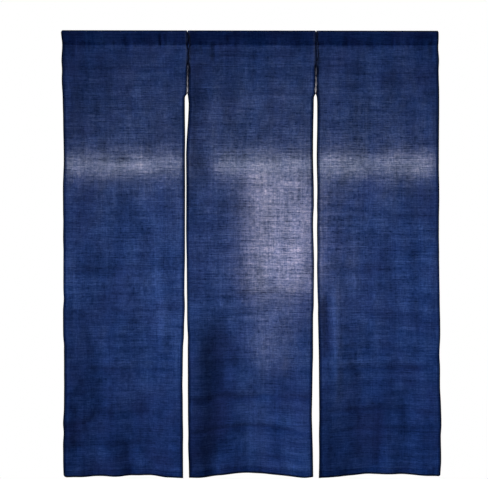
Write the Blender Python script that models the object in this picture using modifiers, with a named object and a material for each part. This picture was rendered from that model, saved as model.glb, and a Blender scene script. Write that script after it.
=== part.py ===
"""A noren: a split doorway curtain of three loom-width panels of indigo cloth.

Each panel is one length of cloth. Its top is turned to the back and stitched down as a rod pocket,
and its foot is turned up to the back as a hem. The panels are sewn edge to edge over their first
21 centimetres and hang free below, so a slit parts each two neighbours.

Metres, +Z up, the front towards -Y. The origin is the middle of the top edge, where the cloth
goes over its rod.
"""

import math
from collections import namedtuple

import bmesh
import bpy
import numpy as np

# Driving sizes
DROP = 1.500  # from the top edge to the bottom edge
CLOTH = 0.0010  # thickness of the cloth
LAPPED = 0.0003  # space between two layers that lie on each other, and between sewn panels
POCKET = 0.047  # from the top edge to the stitch line under the rod pocket
POCKET_TAIL = 0.004  # cloth of the pocket's back that reaches past its stitch line
ROD_ROUND = 0.0080  # radius of the cloth's middle where it goes over the rod
HEM = 0.022  # height of the hem at the foot
HEM_ROUND = 0.0008  # radius of the cloth's middle in the fold of that hem
TOP_SLOPE = -0.0016  # rise of the top edge for each metre to the right

# Fineness of the cloth's grid
COLUMNS = 24
HANGING_ROWS = 28
POCKET_ROWS = 3
HEM_ROWS = 2
ROD_ARC_STEPS = 6
HEM_ARC_STEPS = 4

# Depth in Y. The rod's middle is at zero, between the front of the pocket and its back.
LAYER_PITCH = CLOTH + LAPPED
SHEET_Y = -LAYER_PITCH / 2

FOLD_END = 0.10  # the length over which a fold that ends dies away
NEVER = 9.0  # a place below the foot, for a fold that runs out of it

Edge = namedtuple("Edge", "below x")
Slit = namedtuple("Slit", "below left right")
Fold = namedtuple("Fold", "across half_width lean begins full gone depth")
Foot = namedtuple("Foot", "across lower")


def sewn(below, x):
    """A slit's row where the two panels are sewn edge to edge."""
    return Slit(below, x - LAPPED / 2, x + LAPPED / 2)


# The outer edges, seen from the front: distance below the top edge, and X.
LEFT_EDGE = (
    Edge(0.000, -0.6318),
    Edge(0.006, -0.6333),
    Edge(0.047, -0.6310),
    Edge(0.100, -0.6336),
    Edge(0.220, -0.6292),
    Edge(0.460, -0.6250),
    Edge(0.545, -0.6284),
    Edge(0.700, -0.6275),
    Edge(0.905, -0.6250),
    Edge(0.945, -0.6277),
    Edge(1.065, -0.6232),
    Edge(1.230, -0.6233),
    Edge(1.390, -0.6266),
    Edge(1.500, -0.6256),
)
RIGHT_EDGE = (
    Edge(0.000, 0.6285),
    Edge(0.006, 0.6301),
    Edge(0.047, 0.6304),
    Edge(0.100, 0.6328),
    Edge(0.380, 0.6334),
    Edge(0.700, 0.6332),
    Edge(0.945, 0.6346),
    Edge(1.027, 0.6363),
    Edge(1.110, 0.6335),
    Edge(1.230, 0.6358),
    Edge(1.310, 0.6390),
    Edge(1.400, 0.6378),
    Edge(1.500, 0.6361),
)

# The slits: distance below the top edge, then X on the slit's left and on its right.
LEFT_SLIT = (
    Slit(0.000, -0.2132, -0.2092),
    sewn(0.009, -0.2111),
    sewn(0.210, -0.2123),
    Slit(0.223, -0.2199, -0.2086),
    Slit(0.247, -0.2204, -0.2065),
    Slit(0.294, -0.2201, -0.2083),
    Slit(0.378, -0.2194, -0.2134),
    Slit(0.422, -0.2198, -0.2152),
    Slit(0.660, -0.2197, -0.2147),
    Slit(0.825, -0.2212, -0.2123),
    Slit(0.905, -0.2203, -0.2113),
    Slit(0.985, -0.2222, -0.2102),
    Slit(1.025, -0.2228, -0.2085),
    Slit(1.067, -0.2266, -0.2084),
    Slit(1.150, -0.2283, -0.2086),
    Slit(1.230, -0.2259, -0.2086),
    Slit(1.390, -0.2262, -0.2076),
    Slit(1.500, -0.2260, -0.2050),
)
RIGHT_SLIT = (
    Slit(0.000, 0.2184, 0.2224),
    sewn(0.009, 0.2205),
    sewn(0.210, 0.2199),
    Slit(0.223, 0.2131, 0.2244),
    Slit(0.247, 0.2124, 0.2255),
    Slit(0.334, 0.2107, 0.2250),
    Slit(0.422, 0.2100, 0.2236),
    Slit(0.540, 0.2121, 0.2248),
    Slit(0.660, 0.2100, 0.2239),
    Slit(0.825, 0.2130, 0.2256),
    Slit(0.985, 0.2097, 0.2278),
    Slit(1.150, 0.2073, 0.2311),
    Slit(1.310, 0.2059, 0.2314),
    Slit(1.500, 0.2087, 0.2300),
)

# Folds that run down a panel. across is the share of the panel's width at the fold's middle, lean
# is how far that middle moves to the right from top to foot, and the fold grows from nothing at
# begins to its depth at full and is gone again at gone, all below the top edge. A depth above zero
# goes to the back.
FOLDS = {
    "panel_left": (
        Fold(0.00, 0.050, 0.000, 0.30, 1.50, NEVER, -0.011),
        Fold(0.29, 0.045, 0.010, 0.45, 1.50, NEVER, 0.008),
        Fold(0.43, 0.030, -0.008, 0.75, 1.50, NEVER, -0.005),
        Fold(0.68, 0.065, 0.012, 0.35, 1.50, NEVER, 0.010),
        Fold(0.98, 0.050, 0.000, 0.25, 1.50, NEVER, -0.012),
        Fold(0.60, 0.035, 0.015, 0.06, 0.16, 0.55, 0.004),
    ),
    "panel_middle": (
        Fold(0.02, 0.055, 0.000, 0.25, 1.50, NEVER, -0.014),
        Fold(0.17, 0.020, 0.006, 0.80, 1.15, NEVER, 0.007),
        Fold(0.17, 0.018, 0.004, 0.06, 0.14, 0.26, -0.004),
        Fold(0.50, 0.090, 0.010, 0.30, 1.50, NEVER, 0.013),
        Fold(0.74, 0.030, -0.012, 0.55, 1.05, NEVER, -0.004),
        Fold(0.98, 0.050, 0.000, 0.25, 1.50, NEVER, -0.014),
    ),
    "panel_right": (
        Fold(0.00, 0.060, 0.000, 0.25, 1.50, NEVER, -0.014),
        Fold(0.42, 0.050, -0.012, 0.40, 1.50, NEVER, 0.011),
        Fold(0.54, 0.025, 0.010, 0.85, 1.50, NEVER, -0.004),
        Fold(0.68, 0.040, 0.008, 0.45, 1.50, NEVER, 0.009),
        Fold(1.00, 0.055, 0.000, 0.30, 1.50, NEVER, -0.010),
        Fold(0.35, 0.035, -0.015, 0.06, 0.18, 0.60, 0.004),
    ),
}

# The foot of each panel: share of its width, and how far its edge hangs below DROP there.
FEET = {
    "panel_left": (
        Foot(0.00, -0.0030),
        Foot(0.07, -0.0012),
        Foot(0.15, 0.0000),
        Foot(0.30, -0.0025),
        Foot(0.42, -0.0006),
        Foot(0.58, -0.0034),
        Foot(0.72, -0.0046),
        Foot(0.86, 0.0009),
        Foot(1.00, 0.0005),
    ),
    "panel_middle": (
        Foot(0.00, -0.0018),
        Foot(0.12, 0.0002),
        Foot(0.25, -0.0039),
        Foot(0.45, -0.0113),
        Foot(0.60, -0.0090),
        Foot(0.80, -0.0033),
        Foot(0.92, 0.0002),
        Foot(1.00, -0.0036),
    ),
    "panel_right": (
        Foot(0.00, 0.0000),
        Foot(0.12, -0.0016),
        Foot(0.27, -0.0043),
        Foot(0.43, -0.0086),
        Foot(0.55, -0.0082),
        Foot(0.68, -0.0088),
        Foot(0.85, -0.0050),
        Foot(1.00, -0.0060),
    ),
}

# Colours of the dyed cloth, one a panel: they came from one bolt and hang side by side.
COLOURS = {
    "panel_left": (0.016, 0.032, 0.105, 1.0),
    "panel_middle": (0.020, 0.037, 0.115, 1.0),
    "panel_right": (0.016, 0.031, 0.100, 1.0),
}
CLOTH_ROUGHNESS = 0.92


def smooth(at, places, values):
    """The smooth curve through a table's values: a cubic between each two rows, with one slope at each row."""
    places, values = np.array(places, float), np.array(values, float)
    slopes = np.gradient(values, places)
    i = np.clip(np.searchsorted(places, at, side="right") - 1, 0, len(places) - 2)
    step = places[i + 1] - places[i]
    t = np.clip((at - places[i]) / step, 0.0, 1.0)
    start, end = values[i], values[i + 1]
    return (
        start * (1 + 2 * t) * (1 - t) ** 2
        + slopes[i] * step * t * (1 - t) ** 2
        + end * t**2 * (3 - 2 * t)
        - slopes[i + 1] * step * t**2 * (1 - t)
    )


def ramp(at, begins, full):
    """0 up to begins and 1 from full on, with a soft start and end."""
    t = np.clip((at - begins) / (full - begins), 0.0, 1.0)
    return t * t * (3 - 2 * t)


def column(table, name):
    """One named column of a table."""
    return [getattr(row, name) for row in table]


def edge_x(table, side, below):
    """X of a panel's edge at a distance below the top edge."""
    return np.interp(below, column(table, "below"), column(table, side))


def fold_depth(folds, across, width, below):
    """How far the folds carry the cloth to the back, at a share of its width and a place below the top."""
    depth = np.zeros_like(across)
    for fold in folds:
        away = (across - fold.across) * width - fold.lean * below / DROP
        grown = ramp(below, fold.begins, fold.full) * (1 - ramp(below, fold.gone - FOLD_END, fold.gone))
        depth += fold.depth * grown * np.exp(-0.5 * (away / fold.half_width) ** 2)
    return depth


def section():
    """The cloth's section from the hem's upper edge to the pocket's lower edge, as rows of how far
    each lies below the top edge and behind the hanging sheet."""
    rows = []
    # The hem behind the sheet, from its upper edge down
    for share in np.linspace(0.0, 1.0, HEM_ROWS + 1):
        below = DROP - HEM + share * (HEM - HEM_ROUND)
        rows.append((below, LAYER_PITCH + share * (2 * HEM_ROUND - LAYER_PITCH)))
    # The fold at the foot
    for step in range(1, HEM_ARC_STEPS):
        turn = math.pi * step / HEM_ARC_STEPS
        rows.append((DROP - HEM_ROUND + HEM_ROUND * math.sin(turn), HEM_ROUND * (1 + math.cos(turn))))
    # The hanging sheet, up to the stitch line under the pocket
    for share in np.linspace(0.0, 1.0, HANGING_ROWS + 1):
        rows.append((DROP - HEM_ROUND + share * (POCKET - DROP + HEM_ROUND), 0.0))
    # The pocket's front leans out to the rod, the cloth goes over it, and the back comes down again
    middle = LAYER_PITCH / 2
    lean = math.asin((ROD_ROUND - middle) / math.hypot(POCKET - ROD_ROUND, middle))
    front_back = middle - ROD_ROUND * math.cos(lean)
    front_below = ROD_ROUND + ROD_ROUND * math.sin(lean)
    for share in np.linspace(0.0, 1.0, POCKET_ROWS + 1)[1:]:
        rows.append((POCKET + share * (front_below - POCKET), share * front_back))
    for step in range(1, ROD_ARC_STEPS):
        turn = -lean + (math.pi + 2 * lean) * step / ROD_ARC_STEPS
        rows.append((ROD_ROUND - ROD_ROUND * math.sin(turn), middle - ROD_ROUND * math.cos(turn)))
    for share in np.linspace(1.0, 0.0, POCKET_ROWS + 1):
        back = LAYER_PITCH - share * front_back
        rows.append((POCKET + share * (front_below - POCKET), back))
    rows.append((POCKET + POCKET_TAIL, LAYER_PITCH))
    return rows


def hang_panel(name, left_table, left_side, right_table, right_side):
    """One panel as a grid of cloth: its columns go across the panel and its rows along the section."""
    rows = section()
    mesh = bpy.data.meshes.new(name)
    grid = bmesh.new()
    bmesh.ops.create_grid(grid, x_segments=COLUMNS, y_segments=len(rows) - 1, size=0.5)
    flat = np.array([vertex.co[:2] for vertex in grid.verts]) + 0.5
    across = flat[:, 0]
    below, behind = np.array(rows)[np.rint(flat[:, 1] * (len(rows) - 1)).astype(int)].T
    left = edge_x(left_table, left_side, below)
    right = edge_x(right_table, right_side, below)
    foot = FEET[name]
    lower = smooth(across, column(foot, "across"), column(foot, "lower"))
    x = left + across * (right - left)
    y = SHEET_Y + behind + fold_depth(FOLDS[name], across, right - left, below)
    z = TOP_SLOPE * x * (1 - below / DROP) - below - lower * (below / DROP) ** 3
    for vertex, place in zip(grid.verts, np.stack([x, y, z], axis=1)):
        vertex.co = place
    grid.to_mesh(mesh)
    grid.free()
    mesh.shade_smooth()
    panel = bpy.data.objects.new(name, mesh)
    panel.data.materials.append(dyed_cloth(name, COLOURS[name]))
    give_thickness(panel)
    return panel


def give_thickness(panel):
    """Makes the sheet a closed solid, half its thickness to either side."""
    solid = panel.modifiers.new("cloth", "SOLIDIFY")
    solid.thickness = CLOTH
    solid.offset = 0.0
    solid.use_even_offset = True
    solid.use_rim = True


def dyed_cloth(name, colour):
    material = bpy.data.materials.new(name + "_cloth")
    material.use_nodes = True
    shader = material.node_tree.nodes["Principled BSDF"]
    shader.inputs["Base Color"].default_value = colour
    shader.inputs["Roughness"].default_value = CLOTH_ROUGHNESS
    shader.inputs["Metallic"].default_value = 0.0
    return material


def clear_scene():
    for thing in list(bpy.data.objects):
        bpy.data.objects.remove(thing, do_unlink=True)


def main():
    clear_scene()
    curtain = bpy.data.collections.new("noren_curtain")
    bpy.context.scene.collection.children.link(curtain)
    curtain.objects.link(hang_panel("panel_left", LEFT_EDGE, "x", LEFT_SLIT, "left"))
    curtain.objects.link(hang_panel("panel_middle", LEFT_SLIT, "right", RIGHT_SLIT, "left"))
    curtain.objects.link(hang_panel("panel_right", RIGHT_SLIT, "right", RIGHT_EDGE, "x"))


main()
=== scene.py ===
"""The looks of a noren, a split doorway curtain of three panels of indigo linen.

Run as a script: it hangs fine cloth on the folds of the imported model, sews it with real thread and
sets a plain pale studio with the camera at the photograph's angle. Metres, +Z up, front to -Y, and
the origin is the middle of the top edge.
"""

import math
from collections import namedtuple

import bpy
import numpy as np
from bpy.props import FloatProperty, FloatVectorProperty, IntProperty, PointerProperty
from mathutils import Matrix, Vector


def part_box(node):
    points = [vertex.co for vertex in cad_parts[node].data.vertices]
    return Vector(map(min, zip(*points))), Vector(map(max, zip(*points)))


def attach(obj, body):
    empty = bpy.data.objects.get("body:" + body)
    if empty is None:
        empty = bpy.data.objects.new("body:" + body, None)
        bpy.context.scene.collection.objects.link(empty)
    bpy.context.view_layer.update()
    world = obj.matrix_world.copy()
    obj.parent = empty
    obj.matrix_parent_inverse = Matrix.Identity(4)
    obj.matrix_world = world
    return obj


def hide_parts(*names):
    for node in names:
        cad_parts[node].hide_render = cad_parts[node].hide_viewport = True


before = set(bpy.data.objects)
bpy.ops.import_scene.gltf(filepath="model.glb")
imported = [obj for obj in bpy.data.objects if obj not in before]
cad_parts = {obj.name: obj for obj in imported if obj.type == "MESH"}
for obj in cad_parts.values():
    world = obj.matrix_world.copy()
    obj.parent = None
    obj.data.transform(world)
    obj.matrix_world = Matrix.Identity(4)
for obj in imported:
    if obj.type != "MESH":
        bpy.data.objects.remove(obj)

bl_info = {
    "name": "Noren Curtain",
    "version": (1, 0, 0),
    "blender": (4, 5, 0),
    "location": "View3D > Sidebar > Noren",
    "description": "Hangs, sews and lights a split indigo doorway curtain",
    "category": "Object",
}

# Sizes of the curtain's solids, in metres, that the fine cloth follows
DROP = 1.500
POCKET = 0.047
POCKET_TAIL = 0.004
ROD_ROUND = 0.0080
HEM = 0.022
HEM_ROUND = 0.0008
TOP_SLOPE = -0.0016
SHEET_Y = -0.00065
FOLD_END = 0.10
NEVER = 9.0
SEWN_TO = 0.210

# How the fine cloth differs from the solids: the space left between sewn edges, how far they turn to
# the back, how high the ridge beside them is, how far down the lacing reaches and how far in it
# hides the painted dark rims, how much closer the rows are near the pocket, and how much painted
# shade a furrow or crease gets for each metre that it lies back; one that stands forward gets as
# much painted light.
SEAM_SPACE = 0.00002
SEAM_TURN = 0.0008
SEAM_RIDGE = 0.0007
LACED_TO = 0.119
LACED_IN = 0.008
CLOSER = 0.20
LINE_SHADE = 150.0

# Rows of the cloth's grid up the hem, round its fold, up either side of the pocket and over the rod
HEM_ROWS = 7
TURN_ROWS = 7
POCKET_ROWS = 15
ROD_ROWS = 19

# The unevenness all over: how many waves it is made of, and their shortest and longest
RIPPLE_WAVES = 34
RIPPLE_SHORTEST = 0.03
RIPPLE_LONGEST = 0.26

# Sewing: the bare cloth at either end of a line of stitches, the distance from turn to turn in a bar
# in thread radii, the steps in a turn, the lay of a strand's plies, and how dark and pale they are.
STITCHES_FROM_EDGE = 0.004
BAR_PITCH = 2.3
BAR_STEPS = 14
PLY_LAY = 0.0052
DARK_PLY = 0.55
PALE_PLY = 1.35

# Where the lacing's dye has bled into the pale thread, below the top edge
BLED_FULL = 0.128
BLED_TO = 0.196

Edge = namedtuple("Edge", "below x")
Slit = namedtuple("Slit", "below left right")
Fold = namedtuple("Fold", "across half_width lean begins full gone depth")
Foot = namedtuple("Foot", "across lower")
Furrow = namedtuple("Furrow", "across half_width lean begins ends depth")
Crease = namedtuple("Crease", "starts ends below rise sag half_width depth")


def sewn(below, x):
    """A slit's row where the two panels touch edge to edge."""
    return Slit(below, x, x)


# The outer edges, seen from the front: distance below the top edge, and X. They and the slits' edges
# lie about 1 mm outside those of the solids, and have the small bumps of the turned sides.
LEFT_EDGE = (
    Edge(0.000, -0.6305),
    Edge(0.008, -0.6346),
    Edge(0.047, -0.6322),
    Edge(0.100, -0.6348),
    Edge(0.137, -0.6332),
    Edge(0.160, -0.6337),
    Edge(0.220, -0.6308),
    Edge(0.300, -0.6287),
    Edge(0.430, -0.6273),
    Edge(0.545, -0.6300),
    Edge(0.600, -0.6294),
    Edge(0.650, -0.6279),
    Edge(0.700, -0.6288),
    Edge(0.750, -0.6274),
    Edge(0.863, -0.6280),
    Edge(0.905, -0.6261),
    Edge(0.945, -0.6282),
    Edge(1.024, -0.6275),
    Edge(1.065, -0.6246),
    Edge(1.230, -0.6242),
    Edge(1.290, -0.6255),
    Edge(1.327, -0.6276),
    Edge(1.358, -0.6252),
    Edge(1.400, -0.6273),
    Edge(1.450, -0.6270),
    Edge(1.500, -0.6256),
)
RIGHT_EDGE = (
    Edge(0.000, 0.6285),
    Edge(0.008, 0.6312),
    Edge(0.037, 0.6322),
    Edge(0.057, 0.6316),
    Edge(0.100, 0.6341),
    Edge(0.137, 0.6329),
    Edge(0.200, 0.6344),
    Edge(0.280, 0.6342),
    Edge(0.460, 0.6336),
    Edge(0.550, 0.6356),
    Edge(0.660, 0.6336),
    Edge(0.850, 0.6346),
    Edge(1.020, 0.6372),
    Edge(1.090, 0.6342),
    Edge(1.145, 0.6364),
    Edge(1.200, 0.6360),
    Edge(1.250, 0.6382),
    Edge(1.327, 0.6406),
    Edge(1.367, 0.6384),
    Edge(1.450, 0.6396),
    Edge(1.500, 0.6366),
)

# The slits: distance below the top edge, then X on the slit's left and on its right.
LEFT_SLIT = (
    Slit(0.000, -0.2132, -0.2092),
    sewn(0.009, -0.2109),
    sewn(0.036, -0.2097),
    sewn(0.190, -0.2104),
    sewn(0.210, -0.2112),
    Slit(0.223, -0.2193, -0.2094),
    Slit(0.247, -0.2198, -0.2073),
    Slit(0.294, -0.2195, -0.2091),
    Slit(0.378, -0.2188, -0.2144),
    Slit(0.422, -0.2192, -0.2158),
    Slit(0.520, -0.2185, -0.2150),
    Slit(0.588, -0.2187, -0.2152),
    Slit(0.660, -0.2190, -0.2156),
    Slit(0.756, -0.2190, -0.2140),
    Slit(0.823, -0.2203, -0.2132),
    Slit(0.875, -0.2206, -0.2127),
    Slit(0.924, -0.2194, -0.2122),
    Slit(0.985, -0.2216, -0.2114),
    Slit(1.025, -0.2224, -0.2095),
    Slit(1.067, -0.2253, -0.2097),
    Slit(1.150, -0.2263, -0.2094),
    Slit(1.192, -0.2272, -0.2094),
    Slit(1.230, -0.2263, -0.2094),
    Slit(1.300, -0.2258, -0.2088),
    Slit(1.360, -0.2250, -0.2078),
    Slit(1.390, -0.2253, -0.2085),
    Slit(1.450, -0.2250, -0.2062),
    Slit(1.500, -0.2248, -0.2052),
)
RIGHT_SLIT = (
    Slit(0.000, 0.2184, 0.2224),
    sewn(0.009, 0.2205),
    sewn(0.210, 0.2199),
    Slit(0.223, 0.2141, 0.2236),
    Slit(0.247, 0.2134, 0.2247),
    Slit(0.334, 0.2117, 0.2242),
    Slit(0.422, 0.2110, 0.2228),
    Slit(0.540, 0.2133, 0.2243),
    Slit(0.588, 0.2137, 0.2236),
    Slit(0.625, 0.2115, 0.2243),
    Slit(0.660, 0.2112, 0.2236),
    Slit(0.756, 0.2138, 0.2243),
    Slit(0.789, 0.2143, 0.2236),
    Slit(0.825, 0.2140, 0.2241),
    Slit(0.890, 0.2131, 0.2255),
    Slit(0.924, 0.2128, 0.2265),
    Slit(0.957, 0.2108, 0.2265),
    Slit(0.985, 0.2106, 0.2271),
    Slit(1.092, 0.2103, 0.2293),
    Slit(1.150, 0.2086, 0.2293),
    Slit(1.226, 0.2076, 0.2299),
    Slit(1.293, 0.2061, 0.2302),
    Slit(1.360, 0.2077, 0.2293),
    Slit(1.428, 0.2097, 0.2302),
    Slit(1.500, 0.2106, 0.2290),
)

# The folds that the solids have: see the Fold columns. A depth above zero goes to the back.
FOLDS = {
    "panel_left": (
        Fold(0.00, 0.050, 0.000, 0.30, 1.50, NEVER, -0.011),
        Fold(0.29, 0.045, 0.010, 0.45, 1.50, NEVER, 0.008),
        Fold(0.43, 0.030, -0.008, 0.75, 1.50, NEVER, -0.005),
        Fold(0.68, 0.065, 0.012, 0.35, 1.50, NEVER, 0.010),
        Fold(0.98, 0.050, 0.000, 0.25, 1.50, NEVER, -0.012),
        Fold(0.60, 0.035, 0.015, 0.06, 0.16, 0.55, 0.004),
    ),
    "panel_middle": (
        Fold(0.02, 0.055, 0.000, 0.25, 1.50, NEVER, -0.014),
        Fold(0.17, 0.020, 0.006, 0.80, 1.15, NEVER, 0.007),
        Fold(0.17, 0.018, 0.004, 0.06, 0.14, 0.26, -0.004),
        Fold(0.50, 0.090, 0.010, 0.30, 1.50, NEVER, 0.013),
        Fold(0.74, 0.030, -0.012, 0.55, 1.05, NEVER, -0.004),
        Fold(0.98, 0.050, 0.000, 0.25, 1.50, NEVER, -0.014),
    ),
    "panel_right": (
        Fold(0.00, 0.060, 0.000, 0.25, 1.50, NEVER, -0.014),
        Fold(0.42, 0.050, -0.012, 0.40, 1.50, NEVER, 0.011),
        Fold(0.54, 0.025, 0.010, 0.85, 1.50, NEVER, -0.004),
        Fold(0.68, 0.040, 0.008, 0.45, 1.50, NEVER, 0.009),
        Fold(1.00, 0.055, 0.000, 0.30, 1.50, NEVER, -0.010),
        Fold(0.35, 0.035, -0.015, 0.06, 0.18, 0.60, 0.004),
    ),
}

# The foot of each panel: share of its width, and how far its edge hangs below DROP there.
FEET = {
    "panel_left": (
        Foot(0.00, -0.0090),
        Foot(0.01, -0.0034),
        Foot(0.025, -0.0012),
        Foot(0.07, -0.0010),
        Foot(0.15, 0.0000),
        Foot(0.30, -0.0025),
        Foot(0.42, -0.0006),
        Foot(0.58, -0.0034),
        Foot(0.72, -0.0046),
        Foot(0.86, 0.0009),
        Foot(1.00, 0.0005),
    ),
    "panel_middle": (
        Foot(0.00, -0.0018),
        Foot(0.12, 0.0002),
        Foot(0.25, -0.0039),
        Foot(0.45, -0.0113),
        Foot(0.60, -0.0090),
        Foot(0.80, -0.0033),
        Foot(0.92, 0.0002),
        Foot(1.00, -0.0036),
    ),
    "panel_right": (
        Foot(0.00, 0.0000),
        Foot(0.12, -0.0016),
        Foot(0.27, -0.0043),
        Foot(0.43, -0.0086),
        Foot(0.55, -0.0082),
        Foot(0.68, -0.0088),
        Foot(0.85, -0.0050),
        Foot(0.985, -0.0050),
        Foot(1.00, -0.0085),
    ),
}

# Narrow upright furrows, finer than the solids' folds: share of the width, half the width, how far
# the foot leans to the right, and where they begin and end below the top edge. A depth above zero
# goes to the back, and one below zero is a ridge.
FURROWS = {
    "panel_left": (
        Furrow(0.09, 0.006, 0.004, 0.015, 0.100, 0.0014),
        Furrow(0.52, 0.007, -0.003, 0.008, 0.075, 0.0024),
        Furrow(0.785, 0.0045, 0.000, 0.006, 0.062, 0.0026),
        Furrow(0.83, 0.003, 0.000, 0.006, 0.050, 0.0014),
        Furrow(0.10, 0.012, 0.014, 1.240, 1.460, 0.0018),
        Furrow(0.45, 0.014, -0.012, 0.560, 1.100, 0.0020),
        Furrow(0.81, 0.012, 0.006, 0.740, 1.200, -0.0030),
        Furrow(0.535, 0.013, 0.004, 1.370, 1.560, 0.0034),
        Furrow(0.63, 0.010, 0.004, 1.370, 1.560, -0.0018),
    ),
    "panel_middle": (
        Furrow(0.11, 0.004, 0.002, 0.030, 0.095, 0.0018),
        Furrow(0.20, 0.006, 0.004, 0.036, 0.120, 0.0030),
        Furrow(0.32, 0.005, 0.000, 0.008, 0.060, 0.0012),
        Furrow(0.235, 0.026, -0.012, 0.900, 1.500, 0.0052),
        Furrow(0.285, 0.015, -0.006, 1.080, 1.480, 0.0032),
        Furrow(0.58, 0.020, -0.010, 0.980, 1.500, -0.0030),
        Furrow(0.70, 0.010, 0.006, 1.150, 1.520, 0.0024),
        Furrow(0.40, 0.014, 0.008, 0.300, 0.700, 0.0016),
    ),
    "panel_right": (
        Furrow(0.25, 0.006, 0.000, 0.010, 0.065, 0.0016),
        Furrow(0.46, 0.008, 0.003, 0.008, 0.080, 0.0018),
        Furrow(0.62, 0.005, 0.000, 0.012, 0.070, 0.0014),
        Furrow(0.95, 0.005, -0.003, 0.012, 0.110, 0.0018),
        Furrow(0.06, 0.010, 0.004, 0.860, 1.120, 0.0034),
        Furrow(0.145, 0.010, 0.004, 0.800, 1.280, -0.0030),
        Furrow(0.50, 0.014, -0.010, 1.240, 1.520, 0.0026),
        Furrow(0.82, 0.012, 0.010, 0.600, 1.150, 0.0018),
    ),
}

# Creases that run across a panel from folding. starts and ends are shares of its width, below is
# the height of the crease's middle, rise is how much higher its right end lies than its left, and
# sag is how much lower its ends lie than its middle. A depth above zero goes to the back.
CREASES = {
    "panel_left": (
        Crease(0.05, 0.95, 0.128, 0.002, 0.000, 0.004, 0.0010),
        Crease(0.10, 0.55, 0.262, -0.004, 0.002, 0.004, 0.0009),
        Crease(0.00, 1.00, 0.800, 0.004, 0.003, 0.008, 0.0016),
        Crease(0.20, 1.04, 1.112, 0.002, 0.002, 0.005, -0.0018),
        Crease(0.12, 1.00, 1.140, 0.002, 0.002, 0.007, 0.0022),
        Crease(0.16, 0.95, 1.284, -0.004, 0.006, 0.011, 0.0030),
        Crease(-0.05, 0.30, 1.322, 0.036, 0.004, 0.010, 0.0034),
        Crease(0.00, 0.60, 1.392, 0.010, 0.004, 0.006, 0.0014),
    ),
    "panel_middle": (
        Crease(0.02, 1.00, 0.088, -0.006, 0.001, 0.0030, 0.0014),
        Crease(0.50, 0.80, 0.132, -0.006, 0.001, 0.0030, 0.0010),
        Crease(0.40, 1.00, 0.218, -0.003, 0.002, 0.0035, 0.0011),
        Crease(0.02, 0.50, 0.620, -0.010, 0.000, 0.005, 0.0010),
        Crease(0.30, 1.02, 0.880, 0.012, 0.012, 0.008, 0.0020),
        Crease(-0.02, 0.66, 1.238, 0.004, 0.004, 0.009, 0.0044),
        Crease(0.50, 1.06, 1.230, -0.004, 0.004, 0.009, 0.0032),
        Crease(-0.04, 1.02, 1.338, 0.006, 0.018, 0.005, 0.0040),
        Crease(0.30, 1.00, 1.438, 0.000, 0.012, 0.006, 0.0014),
    ),
    "panel_right": (
        Crease(0.10, 1.00, 0.146, 0.002, 0.001, 0.004, 0.0010),
        Crease(0.00, 0.80, 0.800, -0.004, 0.003, 0.008, 0.0014),
        Crease(0.00, 0.75, 1.068, -0.004, 0.003, 0.006, 0.0018),
        Crease(-0.04, 1.02, 1.112, 0.000, 0.002, 0.005, -0.0014),
        Crease(0.10, 1.02, 1.136, 0.002, 0.002, 0.007, 0.0026),
        Crease(0.02, 1.02, 1.276, -0.004, 0.012, 0.008, 0.0034),
        Crease(0.05, 1.00, 1.344, -0.004, 0.012, 0.006, 0.0020),
        Crease(0.30, 0.95, 1.440, 0.002, 0.006, 0.006, 0.0012),
    ),
}

# Soft clouds painted lighter or darker on the cloth, partly uneven dye and partly painted shade and
# painted light of the folds: share of the width, distance below the top edge, half the width, half
# the height, and how much lighter. A value below zero is darker.
Cloud = namedtuple("Cloud", "across below half_width half_height paler")
PLACED_TONE_AND_SHADE = {
    "panel_left": (
        Cloud(0.02, 0.12, 0.075, 0.16, -0.50),
        Cloud(0.85, 0.82, 0.070, 0.02, 0.30),
        Cloud(0.77, 0.91, 0.012, 0.10, 0.25),
        Cloud(0.50, 1.38, 0.250, 0.08, -0.20),
        Cloud(0.05, 0.80, 0.020, 0.05, 0.35),
        Cloud(0.05, 0.96, 0.020, 0.06, -0.30),
        Cloud(0.01, 1.38, 0.016, 0.045, -0.60),
        Cloud(0.06, 1.455, 0.022, 0.010, -0.45),
    ),
    "panel_middle": (
        Cloud(0.50, 0.02, 0.200, 0.022, -0.30),
        Cloud(0.05, 0.28, 0.024, 0.26, -0.50),
        Cloud(0.17, 0.13, 0.009, 0.06, -0.35),
        Cloud(0.10, 1.242, 0.045, 0.014, -0.45),
        Cloud(0.62, 1.31, 0.110, 0.04, 0.20),
        Cloud(0.47, 1.34, 0.040, 0.018, -0.30),
        Cloud(0.08, 1.41, 0.050, 0.05, -0.70),
        Cloud(0.70, 1.42, 0.100, 0.06, 0.30),
    ),
    "panel_right": (
        Cloud(0.50, 0.02, 0.200, 0.022, -0.25),
        Cloud(0.06, 0.95, 0.012, 0.07, -0.35),
        Cloud(0.14, 1.02, 0.010, 0.13, 0.25),
        Cloud(0.45, 1.38, 0.250, 0.08, -0.30),
        Cloud(0.90, 0.85, 0.060, 0.10, 0.20),
        Cloud(0.98, 0.08, 0.040, 0.10, -0.25),
    ),
}

Panel = namedtuple("Panel", "node piece left left_side right right_side pattern_shift")
PANELS = (
    Panel("panel_left", "cloth_left", LEFT_EDGE, "x", LEFT_SLIT, "left", 0.0),
    Panel("panel_middle", "cloth_middle", LEFT_SLIT, "right", RIGHT_SLIT, "left", 1.3),
    Panel("panel_right", "cloth_right", RIGHT_SLIT, "right", RIGHT_EDGE, "x", 2.9),
)

# The photograph's frame, in pixels, and its scale on the curtain's plane
IMAGE_WIDTH = 488
IMAGE_HEIGHT = 479
METRES_PER_PIXEL = 0.00336
CURTAIN_MIDDLE_PX = 250.3
CURTAIN_TOP_PX = 30.6
SENSOR_WIDTH_MM = 36.0


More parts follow.
